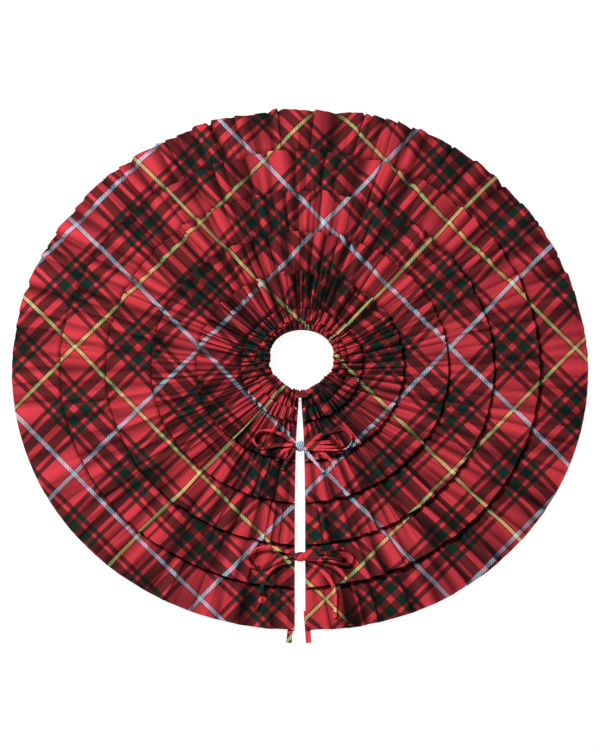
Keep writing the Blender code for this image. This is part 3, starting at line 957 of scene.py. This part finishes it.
def binding(side):
    """A strip folded in half along its length, with its fold at the slit: half a turn joins the
    two layers, and a row of stitches draws them together near the open edge."""
    low, high = corners_of(f"placket_{side}")
    near, far = sorted((abs(low[0]), abs(high[0])))
    y = np.linspace(high[1], low[1], 260)[None, :]
    bend = 0.0006
    flat_part = np.linspace(far - 0.0004, near + bend + 0.0004, 12)
    swing = np.linspace(0.5 * np.pi, 1.5 * np.pi, 7)[1:-1]
    x = np.concatenate([flat_part, near + bend + 0.0004 + bend * np.cos(swing), flat_part[::-1]])
    up = np.concatenate([np.full(12, bend), bend * np.sin(swing), np.full(12, -bend)])
    stitched = np.exp(-((x - (far - 0.0022)) / 0.0008) ** 2)
    pucker = 1 + 0.15 * np.sin(y / 0.0042 + x[:, None] / 0.003)
    z = 0.0010 + (up * (1 - 0.45 * stitched))[:, None] * pucker
    points = np.stack(np.broadcast_arrays(SIDE_SIGN[side] * x[:, None], y, z), axis=-1)
    plaid = plaid_place(points[..., 0], points[..., 1])
    return cloth_shell(f"slit_binding_{side}", points, plaid, BINDING_CLOTH, side == "left")


binding_cotton = plain_cotton("folded_cotton_binding", "B02431", "7A141E", 0.0012)
for side in SIDE_SIGN:
    strip = finish_piece(binding(side), binding_cotton)
    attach(strip, FRONT_BODY[side])
    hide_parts(f"placket_{side}")

# %% [markdown]
# ## Tab, hook and eye
#
# The right end of the collar has a flat tab that covers the gap. Under its edge a wire hook
# catches a wire eye. The wires are already the right shape in the model and only get a finish.

# %% Tab
def tab():
    """A small flat patch with round corners, slightly crowned, with a stitched groove inside
    its edge. Half its depth at x is b times (1 - |x/a| to the 6) to the 1/6."""
    low, high = corners_of("collar_tab")
    centre = (low + high) / 2
    half_length, half_depth = (high[0] - low[0]) / 2, (high[1] - low[1]) / 2
    x = half_length * np.sin(np.linspace(-0.5, 0.5, 40) * np.pi) * 0.9995
    depth = half_depth * (1 - np.abs(x / half_length) ** 6) ** (1 / 6)
    across, up = flat_section(1.0, 0.0007, 28, 0.5)
    side_way = across[None, :] * depth[:, None]
    inside = np.minimum(half_length - np.abs(x)[:, None], depth[:, None] - np.abs(side_way))
    groove = np.exp(-((inside - 0.0016) / 0.0005) ** 2)
    crown = 0.0006 * (1 - (x[:, None] / half_length) ** 2) * (1 - across[None, :] ** 2)
    lift = up[None, :] * (1 - 0.5 * groove) + crown - 0.0002
    rings = np.stack([centre[0] + np.broadcast_to(x[:, None], lift.shape),
                      centre[1] + side_way, centre[2] + lift], axis=-1)
    return swept_object("collar_tab_patch", rings)


patch = finish_piece(tab(), collar_cloth)
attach(patch, "front_right")
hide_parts("collar_tab")


# %% [markdown]
# ## Wire
#
# Hooks and eyes are bent from nickel-plated steel wire. It is a metal, so its colour is the colour
# of its gloss, and long fine noise stands for the lines that drawing leaves on it.

# %% Hook and eye wire
def plated_wire():
    """Nickel-plated steel wire: a polished metal with fine drawing lines."""
    material, tree, shader = new_material("nickel_plated_wire")
    place = add_node(tree, "ShaderNodeTexCoord").outputs["Object"]
    lines = add_node(tree, "ShaderNodeTexNoise", (), {"Scale": 900.0, "Detail": 3.0},
                     {"Vector": place})
    tint = add_node(tree, "ShaderNodeMix", {"data_type": "RGBA"},
                    {6: linear("B9B6AE"), 7: linear("E6E4DE")}, {"Factor": lines.outputs["Fac"]})
    tree.links.new(tint.outputs[2], shader.inputs["Base Color"])
    relief = add_node(tree, "ShaderNodeBump", (), {"Strength": 0.15, "Distance": 0.0001},
                      {"Height": lines.outputs["Fac"]})
    tree.links.new(relief.outputs[0], shader.inputs["Normal"])
    shader.inputs["Metallic"].default_value = 1.0
    shader.inputs["Roughness"].default_value = 0.28
    return material


wire = plated_wire()
for name in ("collar_hook", "collar_eye"):
    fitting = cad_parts[name]
    for place in fitting.material_slots:
        place.material = wire
    if not fitting.material_slots:
        fitting.data.materials.append(wire)
    print(name, "has", len(fitting.material_slots), "finish")

# %% [markdown]
# ## The bows
#
# The ties are narrow folded strips of the same cloth. A loop of such a strip lies flat near the
# knot and turns onto its edge where it comes round. So each strand is a flat section carried
# along its route, and the section rolls about the route. A third pair of ties is left undone, and
# only its two ends show, at the hem.

# %% Routes of the strands
UPPER_KNOT = (0.0, -0.187, 0.0198)
LOWER_KNOT = (0.0, -0.443, 0.0192)
# routes in mm from the knot's middle: to the right, to the back, and up
UP, DOWN = 2.4, -2.4
STRAND_WIDTH = 0.008
STRAND_STEP = 0.002

UPPER_BOW = {
    "loop_left": [(-11, 7.2, UP), (-22, 15, UP), (-38, 25, UP), (-56, 33, UP), (-75, 36, 1.5),
                  (-90, 31, 0), (-97, 19, 0), (-95, 6, 0), (-86, -3, 1), (-70, -2, UP),
                  (-50, 1, UP), (-28, 2, UP), (-11, 2, UP)],
    "loop_right": [(11, 7.6, UP), (26, 15, UP), (45, 25, UP), (64, 34, UP), (83, 40, 1.5),
                   (99, 36, 0), (108, 23, 0), (107, 6, 0), (97, -6, 1), (80, -9.5, UP),
                   (60, -9, UP), (38, -7.8, UP), (22, -7.6, UP), (11, -7.6, UP)],
    "small_loop_right": [(11, 2.6, UP), (28, 5, UP), (50, 7.5, UP), (70, 8.5, UP), (85, 7, UP),
                         (90, 1.5, UP), (84, -3, UP), (68, -3.4, UP), (48, -2.8, UP),
                         (28, -2.4, UP), (11, -2.4, UP)],
    "tail_left_a": [(-11, -2.4, DOWN), (-24, -4, DOWN), (-36, -10, DOWN), (-44, -20, DOWN),
                    (-48, -32, -2.8)],
    "tail_left_b": [(-12.5, -7.6, DOWN), (-18, -17, DOWN), (-26, -28, DOWN), (-33, -40, -3.8),
                    (-38, -52, -5.6)],
    "tail_right_a": [(11, -2.4, DOWN), (28, -6, DOWN), (45, -14, DOWN), (60, -27, DOWN),
                     (74, -40, -4.6)],
    "tail_right_b": [(12.5, -7.6, DOWN), (18, -18, DOWN), (28, -32, -2.6), (38, -46, -4.4),
                     (48, -58, -6)],
}

LOWER_BOW = {
    "loop_left": [(-11, 9.5, UP), (-24, 13.5, UP), (-42, 18.5, UP), (-60, 23.5, UP),
                  (-78, 24.5, 1.5), (-95, 18.5, 0), (-107, 5.5, 0), (-108, -8.5, 0),
                  (-99, -18.5, 0), (-84, -20.5, 1), (-66, -14.5, UP), (-46, -5.5, UP),
                  (-26, 1.5, UP), (-11, 3.5, UP)],
    "loop_right": [(11, 11.1, UP), (26, 16.5, UP), (45, 22.5, UP), (62, 26.5, UP), (80, 26.5, 1.5),
                   (97, 21.5, 0), (108, 8.5, 0), (109, -5.5, 0), (99, -14.5, 1), (84, -12.5, UP),
                   (64, -7.5, UP), (44, -4.9, UP), (26, -4.3, UP), (11, -4.1, UP)],
    "small_loop_right": [(11, 6.1, UP), (30, 9, UP), (52, 12, UP), (72, 12.5, UP), (84, 9.5, UP),
                         (87, 4, UP), (79, -0.1, UP), (58, -0.1, UP), (34, 0.9, UP),
                         (11, 1.1, UP)],
    "tail_left": [(-11, -1.5, DOWN), (-26, -8.5, DOWN), (-43, -14.5, DOWN), (-56, -23.3, DOWN),
                  (-67, -35, DOWN), (-75, -49, DOWN), (-80, -65, DOWN)],
    "tail_left_end": [(-82, -84, -6), (-84, -94, -7.2), (-88, -105, -7.4), (-93, -115, -7.4)],
    "tail_right_a": [(11, 1.1, DOWN), (30, -4, DOWN), (50, -10.5, DOWN), (68, -19.3, DOWN),
                     (84, -29, DOWN), (93, -41, DOWN), (100, -52, DOWN)],
    "tail_right_b": [(12.5, -4.1, DOWN), (22, -11.5, DOWN), (36, -21.5, DOWN), (50, -32.3, DOWN),
                     (61, -46, DOWN), (69, -63, DOWN), (73, -84, -6), (74, -108, -7.4),
                     (72, -132, -7.4)],
}
print("strands of the two bows:", len(UPPER_BOW), "and", len(LOWER_BOW))


# %% From a route to a smooth path
def into_knot(route, closed_loop):
    """A strand that starts at the bow's knot goes on into it: one point more at its start, and
    one at a loop's end too. The strand that comes out of the small knot is left as it is."""
    if abs(route[0][0]) > 20:
        return route
    inside = [tuple(0.5 * part for part in route[0])]
    outside = [tuple(0.5 * part for part in route[-1])] if closed_loop else []
    return inside + route + outside


def smooth_route(knot, route):
    """Catmull-Rom curve through the route, then the same curve with points a step apart."""
    places = np.array(knot) + MM * np.array(route, dtype=float)
    padded = np.vstack([places[:1], places, places[-1:]])
    t = (np.arange(12) / 12)[None, :, None]
    p0, p1, p2, p3 = (padded[i:len(padded) - 3 + i, None, :] for i in range(4))
    curve = 0.5 * (2 * p1 + (p2 - p0) * t + (2 * p0 - 5 * p1 + 4 * p2 - p3) * t ** 2
                   + (3 * p1 - p0 - 3 * p2 + p3) * t ** 3)
    curve = np.vstack([curve.reshape(-1, 3), places[-1:]])
    runs = np.concatenate([[0], np.cumsum(np.linalg.norm(np.diff(curve, axis=0), axis=1))])
    count = max(8, int(round(runs[-1] / STRAND_STEP)))
    even = np.linspace(0, runs[-1], count + 1)
    points = np.stack([np.interp(even, runs, curve[:, k]) for k in range(3)], axis=-1)
    return points, float(runs[-1])


print("upper left loop in mm:", round(smooth_route(UPPER_KNOT, UPPER_BOW["loop_left"])[1] * 1000))


# %% One strand
def strand(name, path, closed_loop, seed):
    """A folded strip along a path. Its side direction is level, turned about the path by a roll
    that grows where a loop comes round, and its section is creased along the middle."""
    random = np.random.default_rng(seed)
    along = np.gradient(path, axis=0)
    along = along / np.linalg.norm(along, axis=1, keepdims=True)
    level = np.cross([0.0, 0.0, 1.0], along)
    level = level / np.linalg.norm(level, axis=1, keepdims=True)
    over = np.cross(along, level)
    share = np.linspace(0, 1, len(path))
    roll = random.uniform(-0.25, 0.25) + 0.25 * np.sin(share * random.uniform(7, 12) + seed)
    if closed_loop:
        roll = roll * (1 - smoothstep(0.2, 0.4, share) * (1 - smoothstep(0.6, 0.8, share)))
        roll = roll + 1.15 * smoothstep(0.18, 0.45, share) * (1 - smoothstep(0.55, 0.82, share))
    else:
        roll = roll + 0.5 * random.choice([-1, 1]) * smoothstep(0.1, 0.5, share)
    side_way = np.cos(roll)[:, None] * level + np.sin(roll)[:, None] * over
    normal = np.cos(roll)[:, None] * over - np.sin(roll)[:, None] * level
    across, up = flat_section(1.0, 0.0007, 20, 0.45)
    half = STRAND_WIDTH / 2 * (1 + 0.10 * np.sin(share * 21 + seed))
    pinch = smoothstep(0.0, 0.10, share)
    if closed_loop:
        pinch = pinch * (1 - smoothstep(0.90, 1.0, share))
    half = half * (0.45 + 0.55 * pinch)
    crease = 0.0007 * (np.abs(across) - 0.4) * random.choice([-1, 1])
    ripple_up = 0.0003 * np.sin(share * len(path) / 2.1 + seed)[:, None] * across[None, :] ** 2
    rings = (path[:, None, :] + side_way[:, None, :] * (half[:, None] * across[None, :])[..., None]
             + normal[:, None, :] * ((up + crease)[None, :] + ripple_up)[..., None])
    return swept_object(name, rings)


# %% Knots
def knot(name, seed, wraps=2.0, back=0.0, plaid_share=1.0):
    """A lumpy knot: an ellipsoid whose skin has slanting ridges, where the strip is wound round.
    wraps is how many there are, back moves the knot away from the hem, and plaid_share
    stretches one way of the plaid, so that another part of it comes to lie on top."""
    low, high = corners_of(name)
    centre, half = (low + high) / 2 + np.array([0.0, back, 0.0]), (high - low) / 2
    v = np.linspace(0.02, np.pi - 0.02, 40)[:, None]
    u = np.linspace(0, 2 * np.pi, 48, endpoint=False)[None, :]
    bulk = np.abs(np.sin(v)) ** 0.55
    ridge = np.cos(wraps * (u + 0.9 * np.cos(v)) + seed)
    lumps = 1 + 0.085 * np.sign(ridge) * np.abs(ridge) ** 0.6 * np.sin(v) ** 0.5
    lumps = lumps + 0.03 * np.sin(3 * u + 2 * v + seed)
    x = -np.cos(v) * (1 - 0.10 * np.abs(ridge)) + 0 * u
    y = bulk * np.cos(u) * lumps
    z = bulk * np.sin(u) * lumps
    rings = np.stack([centre[0] + half[0] * 1.10 * x, centre[1] + half[1] * 0.94 * y,
                      centre[2] + half[2] * 0.98 * z], axis=-1)
    plaid = plaid_place(rings[..., 0], rings[..., 1])
    plaid[..., 1] *= plaid_share
    return swept_object(f"{name}_wound", rings, plaid)


def strand_body(name):
    """Strands on the left ride with the left front, and all others with the right front."""
    return "front_left" if "left" in name else "front_right"


def finish_tie(piece, body, node):
    """A piece of a tie gets the plaid painted lighter, rides on a body and stands for one node."""
    piece.data.materials.append(tie_cloth)
    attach(piece, body)
    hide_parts(node)
    return piece


# %% Tie the two bows
BOWS = {
    "bow_upper": (UPPER_KNOT, UPPER_BOW, {"seed": 1.0, "plaid_share": 0.5}),
    "bow_lower": (LOWER_KNOT, LOWER_BOW, {"seed": 2.2, "back": 0.0035}),
}
strands = {}
for prefix, (knot_place, routes, knot_looks) in BOWS.items():
    finish_tie(knot(f"{prefix}_knot", **knot_looks), "front_right", f"{prefix}_knot")
    for index, (name, route) in enumerate(routes.items()):
        full, is_loop = f"{prefix}_{name}", "loop" in name
        path, length = smooth_route(knot_place, into_knot(route, is_loop))
        piece = strand(f"{full}_strip", path, is_loop, 31 * index + len(prefix + name))
        strands[full] = (finish_tie(piece, strand_body(full), full), path, length)

tail_knot = finish_tie(knot("bow_lower_tail_knot", seed=0.4, wraps=1.0),
                       "front_left", "bow_lower_tail_knot")
tail_end = strands.pop("bow_lower_tail_left_end")[0]

for name, (piece, path, length) in strands.items():
    print(piece.name, "length", round(length * 1000), "mm")


# %% Ends of the hem ties
HEM_TIE_WIDTH, HEM_TIE_HALF = 0.0115, 0.036    # width, and half its length
HEM_TIE_Y = -0.591             # its middle
# place of its middle to the side, turn in degrees, and how far its plaid is moved on
HEM_TIES = {"left": (-0.0195, -6.0, 0.0), "right": (0.0155, 4.0, 0.05)}


def hem_tie(side):
    """A flat strip from under the last ruffle, bent over its hem, cut off straight. It drops to
    the floor along a smoothstep and curls up at its edges by the square of the width."""
    low, high = corners_of(f"hem_tie_{side}")
    centre_x, degrees, plaid_shift = HEM_TIES[side]
    turn = math.radians(degrees)
    centre = np.array([centre_x, HEM_TIE_Y])
    along = np.array([math.sin(turn), -math.cos(turn)])
    across_way = np.array([-along[1], along[0]])
    run = np.linspace(-HEM_TIE_HALF, HEM_TIE_HALF, 37)
    out = smoothstep(0.004, HEM_TIE_HALF, run)
    middle = (low[2] + high[2]) / 2
    across, up = flat_section(HEM_TIE_WIDTH / 2, 0.0005, 20, 0.45)
    drop = -(middle - 0.0009) * out + 0.0006 * np.sin(run / 0.0055) * out
    curl = 0.0012 * out[:, None] * (across[None, :] / (HEM_TIE_WIDTH / 2)) ** 2
    rings_xy = (centre + run[:, None] * along)[:, None, :] + across[None, :, None] * across_way
    z = middle + up[None, :] + drop[:, None] + curl
    path = np.stack([centre[0] + run * along[0], centre[1] + run * along[1], middle + drop],
                    axis=-1)
    rings = np.concatenate([rings_xy, z[..., None]], axis=-1)
    plaid = plaid_place(rings[..., 0], rings[..., 1])
    plaid[..., 1] += plaid_shift
    return swept_object(f"hem_tie_{side}_strip", rings, plaid), path


for side in SIDE_SIGN:
    piece, path = hem_tie(side)
    finish_tie(piece, FRONT_BODY[side], f"hem_tie_{side}")
    length = float(np.linalg.norm(np.diff(path, axis=0), axis=1).sum())
    print(piece.name, "length", round(length * 1000), "mm")
